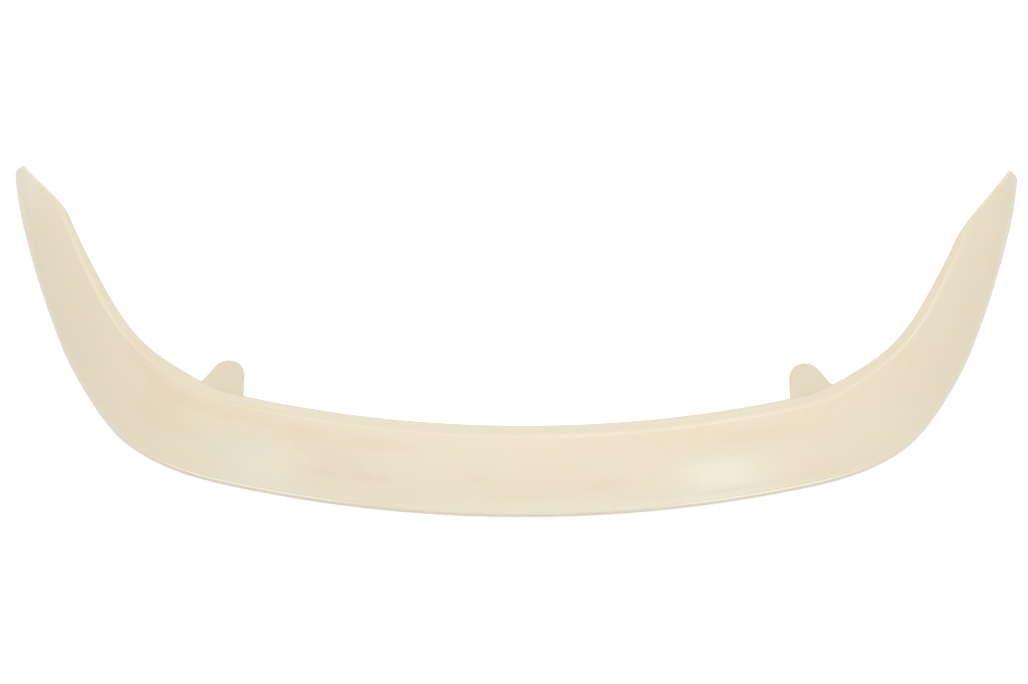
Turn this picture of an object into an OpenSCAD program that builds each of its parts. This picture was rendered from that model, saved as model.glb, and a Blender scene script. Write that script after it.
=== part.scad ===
// Front bumper lip: one thin moulded shell that wraps round the lower front of a car.
// X runs across the car, -Y is forwards and +Z is up. The origin is under the middle of the
// lip's box, on the surface that the lip rests on. Lengths are in millimetres, angles in degrees.

/* [Plan of the nose] */
// Radius of the long bow across the front
bow_r = 1925; // [1500:5:2600]
// Length along the nose from the middle to the start of each corner
bow_half = 438; // [400:2:470]
// Length along the nose that each corner takes
corner_len = 367; // [320:1:440]
// Angle that each corner adds to the bow
corner_turn = 42; // [34:1:48]
// Length along the nose from the end of each corner to the tip
wing_len = 363; // [320:1:420]
// Length before the tip over which the wing hooks a little further round
hook_len = 140; // [90:5:200]
// Angle of that last hook
hook_turn = 6.5; // [0:0.5:14]

/* [Section] */
// Width of the face across the front, from the nose to the crease, seen from above
face_w = 101.75; // [90:0.25:118]
// Height of the crease above the underside across the front
face_h = 72; // [55:1:90]
// Angle by which the face is crowned each way from its chord
crown = 8; // [2:0.5:12]
// Height of the upright nose under the face
nose_h = 14; // [11:0.5:20]
// Radius inside the wall at the foot and, across the front, at the nose's upper edge
nose_in_r = 1; // [0.5:0.25:2]
// Radius inside the wall at the crease across the front
crease_in_r = 4.5; // [2:0.5:7]
// Width of the upper flange across the front, measured down its slope
flange_w = 22; // [14:0.5:28]
// Angle at which the flange falls away from the crease across the front
flange_drop = 25; // [10:1:40]
// Width of the flat return under the nose
return_w = 22; // [12:1:30]
// Thickness of the moulded wall
wall = 3.5; // [2.5:0.1:5]

/* [Wings] */
// Width of the face where its end is cut, seen from above
wing_w = 65; // [50:0.5:80]
// Width of the upper flange where the end is cut, measured down its slope
flange_end_w = 12; // [8:0.5:20]
// Angle at which the flange falls away from the crease where the end is cut
flange_end_drop = 40; // [20:1:55]
// Radius inside the wall at the nose's upper edge where the end is cut
nose_end_in_r = 6; // [1:0.5:8]
// Radius inside the wall at the crease where the end is cut
crease_end_in_r = 1; // [0.5:0.5:6]
// Extra width of the face round the corner
corner_bulge = 9.5; // [0:0.5:14]
// Length of the slanting end cut on the left side
cut_left = 129; // [90:1:200]
// Length of the slanting end cut on the right side, which was trimmed further back
cut_right = 174; // [90:1:200]
// Width across the rounded tip
tip_w = 20; // [18:0.5:28]
// Height of the upper edge at the tip
tip_h = 24; // [16:1:36]

/* [Fixing tabs] */
// Distance along the nose from the middle to the left tab
tab_left_at = 483; // [300:1:540]
// Distance along the nose from the middle to the right tab
tab_right_at = 480; // [300:1:540]
// Radius of the round end of a tab
tab_r = 25; // [16:0.5:30]
// Distance from the flange's edge to the centre of that round end
tab_reach = 29.5; // [18:0.5:40]
// Thickness of a tab
tab_t = 4; // [3:0.25:6]
// Angle of a tab's outer side to the car's width
tab_slant = 55; // [40:1:75]
// Radius of the fillet where the outer side runs into the flange
tab_fillet = 11; // [5:0.5:16]
// Radius of the fillet where the inner side runs into the flange
tab_in_fillet = 4; // [2:0.5:8]

/* [Hidden] */
nose_len = bow_half + corner_len + wing_len;
corner_mid = bow_half + corner_len / 2;
tip_r = tip_w / 2;
// Radius of the outer skin at the foot, one wall's thickness outside the inner one
foot_r = nose_in_r + wall;
// The face starts to narrow just inside the corner, easing in over a length along the nose
narrow_lead = 0.26;
narrow_from = corner_mid - corner_len * narrow_lead;
ease_share = 0.27;
ease_len = corner_len * ease_share;
// The bulge of the corner is widest just behind the middle of the turn
bulge_lag = 0.095;
bulge_mid = corner_mid + corner_len * bulge_lag;
bulge_share = 0.525;
bulge_half = corner_len * bulge_share;
// The cut's edge bows outwards a little instead of running dead straight
cut_bow = 1.25;
// Width of the flange's rim that is left along the cut
rim_w = 1.5;
// Most of the face's width that the nose, the crease and the return may each take at the tip
nose_share = 0.4;
crease_share = 0.4;
// Radius that stays inside the wall there
tip_in_r = 0.3;
// Most of the crease's height that the upright nose may take at the tip
nose_h_share = 0.5;
// Depth that a tab's root reaches into the flange's wall
root_depth = 4;
// Corner of the moulding's free edges that is rounded off, as a share of the wall
edge_round = 0.3;
// Steps of the loft: along the nose to the cut, along the cut, and round the tip
long_steps = 40;
cut_steps = 11;
tip_steps = 6;
// The round tip stops just short of a quarter turn, in a small flat end
tip_sweep = 84;
// Steps of the section: round each edge of the nose, across the face and over the crease
foot_steps = 4;
nose_steps = 4;
face_steps = 6;
crease_steps = 5;
// Fine steps along the nose used to add up its plan, in each half
sum_steps = 584;
// Steps of a tab's round end and of its fillet
arc_steps = 24;
fillet_steps = 8;

function clamp(v) = min(1, max(0, v));
function smooth(v) = let (c = clamp(v)) c * c * (3 - 2 * c);

// Heading of the nose at a length s from the middle: the bow, the corner's turn and the hook
function heading(s) = s / bow_r * 180 / PI
    + corner_turn * smooth((s - bow_half) / corner_len)
    + hook_turn * pow(clamp((s - nose_len + hook_len) / hook_len), 2);

// Plan of the nose, found by adding short steps along the heading
sum_step = nose_len / sum_steps;
nose_plan = [for (i = 0, p = [0, 0]; i <= sum_steps;
    p = p + sum_step * dir((i + 0.5) * sum_step), i = i + 1) p];
function dir(s) = [cos(heading(s)), sin(heading(s))];
function inward(s) = [-sin(heading(s)), cos(heading(s))];
function nose_at(s) = let (
    f = min(s, nose_len) / sum_step,
    i = min(floor(f), sum_steps - 1)
) nose_plan[i] + (f - i) * (nose_plan[i + 1] - nose_plan[i]);

// Width of the face before its end is cut: level across the front, fuller at the corner,
// then narrowing evenly along the wing
function ease(v, len) = v <= 0 ? 0 : v < len ? v * v / 2 / len : v - len / 2;
function narrowing(s) = ease(s - narrow_from, ease_len);
function bulge(s) = let (v = (s - bulge_mid) / bulge_half)
    abs(v) < 1 ? corner_bulge * pow(cos(90 * v), 2) : 0;
narrowing_end = narrowing(nose_len - (cut_left + cut_right) / 2);
function full_w(s) = face_w - (face_w - wing_w) * narrowing(s) / narrowing_end + bulge(s);
function full_flange(s) = flange_w - (flange_w - flange_end_w) * narrowing(s) / narrowing_end;
// The flange's fall and the radii of the outer skin change along the wing with the narrowing
function from_to(a, b, s) = a + (b - a) * min(1, narrowing(s) / narrowing_end);
function drop(s) = from_to(flange_drop, flange_end_drop, s);
function nose_r(s) = wall + from_to(nose_in_r, nose_end_in_r, s);
function crease_r(s) = wall + from_to(crease_in_r, crease_end_in_r, s);
// How far the crease's round and the flange reach inwards beyond the crease
function overhang(s) = crease_r(s) * sin(drop(s)) + full_flange(s) * cos(drop(s));

// Distance from the nose to the slanting cut, for a cut of the given length
function cut_w(s, cut) = let (
    v = (nose_len - s - tip_r) / (cut - tip_r),
    edge = full_w(nose_len - cut) + overhang(nose_len - cut)
) v >= 1 ? full_w(s) + overhang(s) : tip_w + (edge - tip_w) * (1 - pow(1 - clamp(v), cut_bow));
function crease_w(s, cut) = min(
    full_w(s),
    cut_w(s, cut) - crease_r(s) * sin(drop(s)) - rim_w * cos(drop(s))
);
function flange_at(s, cut) = let (
    left = cut_w(s, cut) - crease_w(s, cut) - crease_r(s) * sin(drop(s))
) min(full_flange(s), left / cos(drop(s)));

// Height of the crease, level as far as the corner and then sinking towards the tip
function crease_h(s) = let (
    v = clamp((s - corner_mid) / (nose_len - corner_mid))
) face_h - (face_h - tip_h) * v * v;

// Section as points [inwards, up], drawn at a depth below the outer skin: along the return,
// round the foot, up the nose, round its upper edge, up the crowned face, over the crease and
// down the flange
function section(s, cut, depth) = let (
    w = crease_w(s, cut),
    h = crease_h(s),
    rf = max(wall + tip_in_r, min(foot_r, nose_share * w)),
    r = max(wall + tip_in_r, min(nose_r(s), nose_share * w)),
    rc = max(wall + tip_in_r, min(crease_r(s), crease_share * w)),
    run = min(return_w, crease_share * w),
    nose_c = [r, max(rf, min(nose_h, nose_h_share * h) - r)],
    crease_c = [w, h - rc],
    gap = crease_c - nose_c,
    tilt = atan2(gap.y, gap.x) - asin((r - rc) * cos(crown) / norm(gap)),
    low = tilt + crown,
    high = tilt - crown,
    start = nose_c + r * [-sin(low), cos(low)],
    finish = crease_c + rc * [-sin(high), cos(high)],
    face_r = norm(finish - start) / 2 / sin(crown),
    face_c = start - face_r * [-sin(low), cos(low)],
    fall = drop(s),
    end = crease_c + rc * [sin(fall), cos(fall)],
    lip = end + flange_at(s, cut) * [cos(fall), -sin(fall)]
) concat(
    [[rf + run, depth]],
    [for (i = [0:foot_steps]) let (a = -90 - i * 90 / foot_steps)
        [rf, rf] + (rf - depth) * [cos(a), sin(a)]],
    [for (i = [0:nose_steps]) let (a = 180 - i * (90 - low) / nose_steps)
        nose_c + (r - depth) * [cos(a), sin(a)]],
    [for (i = [1:face_steps]) let (a = low - i * 2 * crown / face_steps)
        face_c + (face_r - depth) * [-sin(a), cos(a)]],
    [for (i = [1:crease_steps]) let (a = high - i * (high + fall) / crease_steps)
        crease_c + (rc - depth) * [-sin(a), cos(a)]],
    [lip - depth * [sin(fall), cos(fall)]]
);

// Closed outline of the wall: the outer skin, a rounded edge, the inner skin and a rounded edge
function outline(s, cut) = let (
    outer = section(s, cut, 0),
    inner = section(s, cut, wall),
    n = len(outer),
    bump = edge_round * wall
) concat(
    outer,
    [(outer[n - 1] + inner[n - 1]) / 2 + bump * [cos(drop(s)), -sin(drop(s))]],
    [for (i = [n - 1:-1:0]) inner[i]],
    [(outer[0] + inner[0]) / 2 + [bump, 0]]
);

// A section set up at its station, drawn in towards its middle where the tip is rounded
function ring(s, cut, shrink, side) = let (
    mid = [cut_w(s, cut) / 2, crease_h(s) / 2],
    base = nose_at(s),
    across = inward(s)
) [for (p = outline(s, cut)) let (
    q = mid + shrink * (p - mid),
    plan = base + q.x * across
) [side * plan.x, plan.y, q.y]];

function half_stations(cut) = let (
    cut_from = nose_len - cut,
    cut_to = nose_len - tip_r
) concat(
    [for (i = [1:long_steps]) [cut_from * i / long_steps, 1]],
    [for (i = [1:cut_steps]) [cut_from + (cut_to - cut_from) * i / cut_steps, 1]],
    [for (i = [1:tip_steps]) let (a = tip_sweep * i / tip_steps) [cut_to + tip_r * sin(a), cos(a)]]
);

left_st = half_stations(cut_left);
right_st = half_stations(cut_right);
rings = concat(
    [for (i = [len(left_st) - 1:-1:0]) ring(left_st[i][0], cut_left, left_st[i][1], -1)],
    [ring(0, cut_left, 1, 1)],
    [for (st = right_st) ring(st[0], cut_right, st[1], 1)]
);
ring_n = len(rings[0]);
ring_count = len(rings);
shell_points = [for (r = rings) each r];

// The lip stands on its lowest points, and its box is centred over the origin
y_all = [for (p = shell_points) p.y];
y_mid = (min(y_all) + max(y_all)) / 2;

// Two triangles between neighbouring points of neighbouring rings
function patch(a, b, c, d) = [[a, b, c], [a, c, d]];
shell_faces = [for (k = [0:ring_count - 2], j = [0:ring_n - 1]) let (
    n = (j + 1) % ring_n,
    a = k * ring_n,
    b = a + ring_n
) each patch(a + j, a + n, b + n, b + j)];
// The wall's end faces run between the outer and inner skins as strips
skin_n = (ring_n - 2) / 2;
function end_cap(a) = concat(
    [for (j = [0:skin_n - 2]) let (o = a + j, i = a + ring_n - 2 - j)
        each patch(o, o + 1, i - 1, i)],
    [[a + skin_n - 1, a + skin_n, a + skin_n + 1], [a, a + ring_n - 2, a + ring_n - 1]]
);
function flipped(faces) = [for (f = faces) [f[0], f[2], f[1]]];
end_faces = concat(flipped(end_cap(0)), end_cap((ring_count - 1) * ring_n));

module shell() {
    polyhedron(points = shell_points, faces = concat(shell_faces, end_faces), convexity = 8);
}

// Point in plan on the flange's free edge, and the height of its upper corner there
function edge_uz(s) = let (sec = section(s, cut_right, 0)) sec[len(sec) - 1];
function edge_at(s) = nose_at(s) + edge_uz(s).x * inward(s);

// Outline of a tab from above: straight inner side, round end, slanting outer side, a fillet on
// each side where it runs into the flange, and a root line that lies inside the flange
function tab_outline(at) = let (
    foot = edge_at(at),
    along_raw = edge_at(at + tab_r) - edge_at(at - tab_r),
    along = along_raw / norm(along_raw),
    across = [-along.y, along.x],
    c = foot + [0, tab_reach],
    side = [cos(tab_slant), -sin(tab_slant)],
    touch = c + tab_r * [sin(tab_slant), cos(tab_slant)],
    bend = tab_slant + atan2(along.y, along.x),
    height = (touch - foot) * across,
    slide = (height - tab_fillet * (1 - cos(bend))) / sin(bend),
    f_start = touch + slide * side,
    f_c = f_start + tab_fillet * [sin(tab_slant), cos(tab_slant)],
    f_end = f_c - tab_fillet * across,
    inner_x = c.x - tab_r,
    inner = [inner_x, foot.y + (inner_x - foot.x) * along.y / along.x],
    half_open = 45 + atan2(along.y, along.x) / 2,
    g_len = tab_in_fillet / tan(half_open),
    g_start = inner - g_len * along,
    g_c = g_start + tab_in_fillet * across
) concat(
    [g_start - root_depth * across],
    [for (i = [0:fillet_steps]) let (a = (i / fillet_steps - 1) * (180 - 2 * half_open))
        g_c + tab_in_fillet * [cos(a), sin(a)]],
    [for (i = [0:arc_steps]) let (a = 180 - i * (90 + tab_slant) / arc_steps)
        c + tab_r * [cos(a), sin(a)]],
    [for (i = [0:fillet_steps]) let (a = 270 - tab_slant + i * bend / fillet_steps)
        f_c + tab_fillet * [cos(a), sin(a)]],
    [f_end - root_depth * across]
);

module tab(at) {
    translate([0, 0, edge_uz(at).y - tab_t])
        linear_extrude(height = tab_t)
            polygon(tab_outline(at));
}

module bumper_lip() {
    color("#e6dcc4")
        translate([0, -y_mid, 0]) {
            shell();
            tab(tab_right_at);
            mirror([1, 0, 0])
                tab(tab_left_at);
        }
}

bumper_lip();
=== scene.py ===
# %% [markdown]
# # A bare front bumper lip in Blender
#
# This lesson dresses one moulded car part: an unpainted ivory lip that wraps round the lower
# front of a car. The solid model gives the real sizes. Here the same curves are worked out again
# with numpy, much more finely, so that light glides over them as it does over the real moulding.

# %% Load the frame
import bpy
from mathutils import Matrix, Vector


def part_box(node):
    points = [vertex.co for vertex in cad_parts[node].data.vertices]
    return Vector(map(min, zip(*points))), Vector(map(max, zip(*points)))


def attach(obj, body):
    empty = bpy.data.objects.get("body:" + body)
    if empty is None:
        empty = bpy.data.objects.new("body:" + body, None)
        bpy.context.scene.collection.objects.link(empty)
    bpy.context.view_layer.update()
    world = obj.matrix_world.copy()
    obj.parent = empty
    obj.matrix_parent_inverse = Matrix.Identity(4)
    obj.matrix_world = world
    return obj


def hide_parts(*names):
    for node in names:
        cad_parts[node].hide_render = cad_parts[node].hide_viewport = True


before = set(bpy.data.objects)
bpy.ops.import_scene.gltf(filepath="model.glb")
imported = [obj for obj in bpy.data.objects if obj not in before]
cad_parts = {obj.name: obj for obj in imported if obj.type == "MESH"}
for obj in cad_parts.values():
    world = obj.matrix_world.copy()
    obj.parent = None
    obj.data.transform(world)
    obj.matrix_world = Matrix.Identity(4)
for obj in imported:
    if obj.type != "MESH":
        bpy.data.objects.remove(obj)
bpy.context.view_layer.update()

import math

import bpy
import numpy as np
from mathutils import Matrix, Vector

node_box = [list(corner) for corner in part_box("bumper_lip")]
print("solid model's box in metres:", np.round(node_box, 4).tolist())

# %% [markdown]
# ## The sizes that drive the shape
#
# A lip like this is drawn from one curve, the nose seen from above, and one section that is
# carried along it. Everything below is in metres or degrees. The same sizes drive the solid
# model, so the fine skin lies where the solid does. Two things follow the real outline closer
# than the solid: the fillets at the tabs' roots are larger, and the outer corners are flatter.

# %% Driving sizes
MM = 0.001
bow_r, bow_half = 1925 * MM, 438 * MM
corner_len, corner_turn = 367 * MM, 42
wing_len, hook_len, hook_turn = 363 * MM, 140 * MM, 6.5
face_w, face_h, crown = 101.75 * MM, 72 * MM, 8
nose_h = 14 * MM
nose_in_r, nose_end_in_r = 1 * MM, 6 * MM
crease_in_r, crease_end_in_r = 4.5 * MM, 1 * MM
flange_w, flange_end_w = 22 * MM, 12 * MM
flange_drop, flange_end_drop = 25, 40
return_w, wall = 22 * MM, 3.5 * MM
wing_w, corner_bulge = 65 * MM, 9.5 * MM
cut_left, cut_right, cut_bow = 129 * MM, 174 * MM, 1.25
tip_w, tip_h, rim_w, tip_in_r = 20 * MM, 24 * MM, 1.5 * MM, 0.3 * MM
tab_left_at, tab_right_at = 483 * MM, 480 * MM
tab_r, tab_reach, tab_t = 25 * MM, 29.5 * MM, 4 * MM
tab_slant, tab_fillet, tab_in_fillet = 55, 13 * MM, 5 * MM
nose_len = bow_half + corner_len + wing_len
corner_mid = bow_half + corner_len / 2
tip_r = tip_w / 2
print(f"the nose is {2 * nose_len:.3f} m long from tip to tip")

# %% [markdown]
# ## The nose seen from above
#
# A circle and two straight lines would show a bright kink wherever they meet, because the
# curvature jumps there. The heading is a smooth function of the length along the nose instead:
# a long bow, a corner that turns in and out gently, and a small hook before the tip. Adding up
# short steps along the heading gives the curve.


# %% Heading and plan of the nose
def smooth(x):
    """Smooth step: 3 x squared minus 2 x cubed, held at 0 and 1 outside that range."""
    c = np.clip(x, 0, 1)
    return c * c * (3 - 2 * c)


def heading(s):
    """Angle in radians: s over the bow's radius, plus the corner's turn, plus the squared hook."""
    hook = np.clip((s - nose_len + hook_len) / hook_len, 0, 1) ** 2
    turn = corner_turn * smooth((s - bow_half) / corner_len) + hook_turn * hook
    return s / bow_r + np.radians(turn)


SUM_STEPS = 4000
sum_s = np.linspace(0, nose_len, SUM_STEPS + 1)
sum_mid = (sum_s[1:] + sum_s[:-1]) / 2
sum_step = nose_len / SUM_STEPS
plan_x = np.concatenate([[0], np.cumsum(np.cos(heading(sum_mid))) * sum_step])
plan_y = np.concatenate([[0], np.cumsum(np.sin(heading(sum_mid))) * sum_step])
# The box of the solid starts at the middle of the nose, so that point fixes the plan
plan_y += node_box[0][1]


def nose_at(s):
    """Point of the nose in plan at the length s, read off the summed curve."""
    return np.stack([np.interp(s, sum_s, plan_x), np.interp(s, sum_s, plan_y)], -1)


def inward(s):
    """Unit vector in plan that points from the nose to the inside of the lip."""
    return np.stack([-np.sin(heading(s)), np.cos(heading(s))], -1)


print("tip of the nose in plan:", np.round(nose_at(nose_len), 4).tolist())

# %% [markdown]
# ## How the band widens, narrows and is cut
#
# The face is level in width across the front, swells a little round the corner, and narrows along
# the wing. Each end was trimmed along a slanting line, the right one further back than the left.
# Taking the smaller of the full width and the cut's width trims flange and face in one go.


# %% Widths along the nose
# Shares of the corner's length: how far before its middle the narrowing starts, how long that
# takes to ease in, and how far past its middle the swelling sits, with its half length
NARROW_BEFORE, NARROW_EASE = 0.26, 0.27
SWELL_PAST, SWELL_HALF = 0.095, 0.525


def narrowing(s):
    """A straight ramp that eases in as a parabola over the first stretch of the corner."""
    v = s - (corner_mid - NARROW_BEFORE * corner_len)
    ease = NARROW_EASE * corner_len
    return np.where(v <= 0, 0, np.where(v < ease, v * v / 2 / ease, v - ease / 2))


ramp_end = narrowing(np.array(nose_len - (cut_left + cut_right) / 2))


def hump(v):
    """Squared cosine: one in the middle, falling smoothly to nothing at minus one and one."""
    return np.where(np.abs(v) < 1, np.cos(np.pi / 2 * v) ** 2, 0)


def full_w(s):
    """Face width: the front width, less the ramp, plus a squared cosine round the corner."""
    bulge = hump((s - corner_mid - SWELL_PAST * corner_len) / (SWELL_HALF * corner_len))
    return face_w - (face_w - wing_w) * narrowing(s) / ramp_end + corner_bulge * bulge


def full_flange(s):
    """Flange width, which shrinks along the same ramp as the face."""
    return flange_w - (flange_w - flange_end_w) * narrowing(s) / ramp_end


def from_to(front, end, s):
    """A size that goes from its value in front to its value at the cut along the same ramp."""
    return front + (end - front) * np.minimum(1, narrowing(s) / ramp_end)


def drop(s):
    """Fall of the flange in radians: shallow in front, steeper on the wings."""
    return np.radians(from_to(flange_drop, flange_end_drop, s))


def nose_r(s):
    """Outer radius of the nose edge: crisp in front, softer on the wings."""
    return wall + from_to(nose_in_r, nose_end_in_r, s)


def crease_r(s):
    """Outer radius of the crease: soft in front, crisper on the wings."""
    return wall + from_to(crease_in_r, crease_end_in_r, s)


def overhang(s):
    """Reach of the crease's round and the flange inwards of the crease."""
    return crease_r(s) * np.sin(drop(s)) + full_flange(s) * np.cos(drop(s))


def cut_w(s, cut):
    """Distance from nose to cut: the tip's width, rising to the full edge along a bowed line."""
    at = np.array(nose_len - cut)
    edge = full_w(at) + overhang(at)
    v = np.clip((nose_len - s - tip_r) / (cut - tip_r), 0, 1)
    slanted = tip_w + (edge - tip_w) * (1 - (1 - v) ** cut_bow)
    return np.where(v >= 1, full_w(s) + overhang(s), slanted)


def crease_w(s, cut):
    """Width of the face after the cut, which leaves a thin rim of the flange beyond it."""
    rim = crease_r(s) * np.sin(drop(s)) + rim_w * np.cos(drop(s))
    return np.minimum(full_w(s), cut_w(s, cut) - rim)


def flange_at(s, cut):
    """Width of the flange that the cut leaves."""
    left = cut_w(s, cut) - crease_w(s, cut) - crease_r(s) * np.sin(drop(s))
    return np.minimum(full_flange(s), left / np.cos(drop(s)))


def crease_h(s):
    """Height of the crease: level, then sinking as a parabola to the tip."""
    v = np.clip((s - corner_mid) / (nose_len - corner_mid), 0, 1)
    return face_h - (face_h - tip_h) * v * v


for s in (0, 0.5, 0.8, 1.0):
    print(f"at {s:.1f} m the face is {float(full_w(np.array(s))) * 1000:.0f} mm wide")

# %% [markdown]
# ## The section
#
# Across the lip the outer skin runs along the flat return, round the foot, up the nose, over a
# crowned face and a soft crease, and down the flange. Arcs that touch each other without a step
# keep the reflections whole. The same run drawn one wall's thickness deeper is the inner skin.


# %% Outer and inner skins
# No round or return takes more than this share of the face's width, nor the nose more than this
# share of its height, so the section still closes where it is small
WIDTH_SHARE, HEIGHT_SHARE = 0.4, 0.5
WALL_STEPS = 3


def skin(s, cut, depth, steps):
    """Points [inwards, up] of one skin for every station: arcs about the foot, nose and crease
    centres and about the centre of the crowned face, each shortened by the depth."""
    foot_n, nose_n, face_n, crease_n, flat_n = steps
    w, h, fl = crease_w(s, cut), crease_h(s), flange_at(s, cut)
    least, most = wall + tip_in_r, WIDTH_SHARE * w
    rf = np.maximum(least, np.minimum(nose_in_r + wall, most))
    r = np.maximum(least, np.minimum(nose_r(s), most))
    rc = np.maximum(least, np.minimum(crease_r(s), most))
    run = np.minimum(return_w, most)
    c = math.radians(crown)
    foot_c = np.stack([rf, rf], -1)
    nose_c = np.stack([r, np.maximum(rf, np.minimum(nose_h, HEIGHT_SHARE * h) - r)], -1)
    crease_c = np.stack([w, h - rc], -1)
    gap = crease_c - nose_c
    reach = np.linalg.norm(gap, axis=-1)
    tilt = np.arctan2(gap[:, 1], gap[:, 0]) - np.arcsin((r - rc) * math.cos(c) / reach)
    low, high = tilt + c, tilt - c

    def unit(a):
        return np.stack([np.cos(a), np.sin(a)], -1)

    def arc(centre, radius, a0, a1, n):
        t = np.linspace(0, 1, n + 1)
        a = a0[:, None] + (a1 - a0)[:, None] * t
        return centre[:, None] + (radius[:, None, None] - depth) * unit(a)

    def line(p, q, n):
        t = np.linspace(0, 1, n + 1)[None, :, None]
        return p[:, None] + (q - p)[:, None] * t

    quarter = np.full_like(s, np.pi / 2)
    start = nose_c + r[:, None] * unit(quarter + low)
    finish = crease_c + rc[:, None] * unit(quarter + high)
    face_r = np.linalg.norm(finish - start, axis=-1) / 2 / math.sin(c)
    face_c = start - face_r[:, None] * unit(quarter + low)
    fall = drop(s)
    lip = crease_c + rc[:, None] * unit(quarter - fall) + fl[:, None] * unit(-fall)
    lip_in = lip - depth * unit(quarter - fall)
    foot = arc(foot_c, rf, -quarter, -2 * quarter, foot_n)
    nose = arc(nose_c, r, 2 * quarter, quarter + low, nose_n)
    face = arc(face_c, face_r, quarter + low, quarter + high, face_n)
    crease = arc(crease_c, rc, quarter + high, quarter - fall, crease_n)
    ret = line(np.stack([rf + run, np.full_like(s, depth)], -1), foot[:, 0], flat_n)
    wall_up = line(foot[:, -1], nose[:, 0], WALL_STEPS)
    flange = line(crease[:, -1], lip_in, flat_n)
    later = [part[:, 1:] for part in (foot, wall_up, nose, face, crease, flange)]
    return np.concatenate([ret, *later], 1)


# Steps round the foot, the nose, the face and the crease, and along each flat part
OUTER_STEPS = (6, 8, 34, 10, 6)
INNER_STEPS = (3, 4, 14, 5, 3)
EDGE_STEPS, EDGE_BULGE = 5, 0.35


def edge_round(a, b):
    """Flattened half circle from the end of one skin to the end of the other."""
    mid, half = (a + b) / 2, (b - a) / 2
    out = np.stack([-half[:, 1], half[:, 0]], -1)
    t = np.pi * np.arange(1, EDGE_STEPS) / EDGE_STEPS
    along = -np.cos(t)[None, :, None] * half[:, None]
    return mid[:, None] + along + EDGE_BULGE * np.sin(t)[None, :, None] * out[:, None]


def wall_outline(s, cut):
    """The closed outline of the wall, and where its outer skin ends in the list of points."""
    outer = skin(s, cut, 0.0, OUTER_STEPS)
    inner = skin(s, cut, wall, INNER_STEPS)[:, ::-1]
    top = edge_round(outer[:, -1], inner[:, 0])
    foot = edge_round(inner[:, -1], outer[:, 0])
    return np.concatenate([outer, top, inner, foot], 1), outer.shape[1]


probe, outer_n = wall_outline(np.array([0.0]), cut_left)
print(f"{probe.shape[1]} points round the wall, {outer_n} of them on the outer skin")

# %% [markdown]
# ## From sections to a skin
#
# Stations run from the left tip through the middle to the right tip, closer together along the
# cuts and round the tips. The whole grid is worked out as arrays. A real hand-finished moulding
# is never dead true, so the outer skin gets slow waves of about a fifth of a millimetre, a shallow
# hollow just above the nose and a faint second line beside it on the right.


# %% Stations and surface
flat_mid, flat_half, flat_depth = 716 * MM, 110 * MM, 4 * MM
FRONT_STATIONS, CUT_STATIONS, TIP_STATIONS, TIP_SWEEP = 160, 44, 14, 84


def half_stations(cut):
    """Lengths along the nose, and how far each section is drawn in where the tip is round."""
    cut_from, cut_to = nose_len - cut, nose_len - tip_r
    a = np.radians(np.linspace(0, TIP_SWEEP, TIP_STATIONS + 1)[1:])
    s = np.concatenate([
        np.linspace(0, cut_from, FRONT_STATIONS + 1)[1:],
        np.linspace(cut_from, cut_to, CUT_STATIONS + 1)[1:],
        cut_to + tip_r * np.sin(a),
    ])
    return s, np.concatenate([np.ones(FRONT_STATIONS + CUT_STATIONS), np.cos(a)])


def place(s, shrink, side, cut):
    """Grid of 3-D points: nose point, plus the section's width along the inward direction, with
    the section drawn in about its middle by the shrink factor. The real corners are a little
    flatter than the solid's, so there the nose moves in by a hump and the inner edge stays."""
    outline, _ = wall_outline(s, cut)
    flat = flat_depth * hump((s - flat_mid) / flat_half)
    share = np.clip(1 - outline[..., 0] / cut_w(s, cut)[:, None], 0, 1)
    outline[..., 0] += flat[:, None] * share
    mid = np.stack([cut_w(s, cut) / 2, crease_h(s) / 2], -1)[:, None]
    q = mid + shrink[:, None, None] * (outline - mid)
    plan = nose_at(np.minimum(s, nose_len))[:, None] + q[..., :1] * inward(s)[:, None]
    return np.stack([side * plan[..., 0], plan[..., 1], q[..., 1]], -1)


left_s, left_k = half_stations(cut_left)
right_s, right_k = half_stations(cut_right)
middle = place(np.array([0.0]), np.array([1.0]), 1, cut_left)
grid = np.concatenate([
    place(left_s, left_k, -1, cut_left)[::-1],
    middle,
    place(right_s, right_k, 1, cut_right),
])
along = np.concatenate([-left_s[::-1], [0], right_s])
print("surface grid:", grid.shape)


# %% Hand-finished unevenness
def grid_normals(points):
    """Cross product of the two directions of the grid, made one long, pointing out of the wall."""
    du = np.gradient(points, axis=0)
    dv = np.roll(points, -1, 1) - np.roll(points, 1, 1)
    n = np.cross(du, dv)
    return n / np.maximum(np.linalg.norm(n, axis=-1, keepdims=True), 1e-12)


foot_n, nose_n, face_n, crease_n, flat_n = OUTER_STEPS
FACE_FROM = flat_n + foot_n + WALL_STEPS + nose_n
FACE_TO = FACE_FROM + face_n
CREASE_TOP = FACE_TO + crease_n // 2
normals = grid_normals(grid)
across = np.zeros(grid.shape[:2])
steps = np.linalg.norm(np.diff(grid[:, :outer_n], axis=1), axis=-1)
across[:, 1:outer_n] = np.cumsum(steps, 1)
from_nose = across - across[:, FACE_FROM:FACE_FROM + 1]
on_face = np.zeros(grid.shape[1])
face_t = np.linspace(0, 1, face_n + 1)
on_face[FACE_FROM:FACE_TO + 1] = np.sin(np.pi * face_t) ** 0.5
length = along[:, None]


# Share of the height, wavelength along and across in metres, and phase
WAVES = [(0.40, 0.310, 0.42, 0.7), (0.30, 0.173, -0.31, 2.1),
         (0.18, 0.097, 0.16, 4.0), (0.12, 0.061, -0.09, 1.3)]
WAVE_HEIGHT = 0.22 * MM
HOLLOW_DEPTH, HOLLOW_AT, HOLLOW_HALF = 0.45 * MM, 7 * MM, 4.5 * MM
SECOND_DEPTH, SECOND_AT, SECOND_HALF = 0.16 * MM, 11 * MM, 1.6 * MM
SECOND_FROM, SECOND_TO, SECOND_FADE = 0.24, 0.43, 0.06


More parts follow.
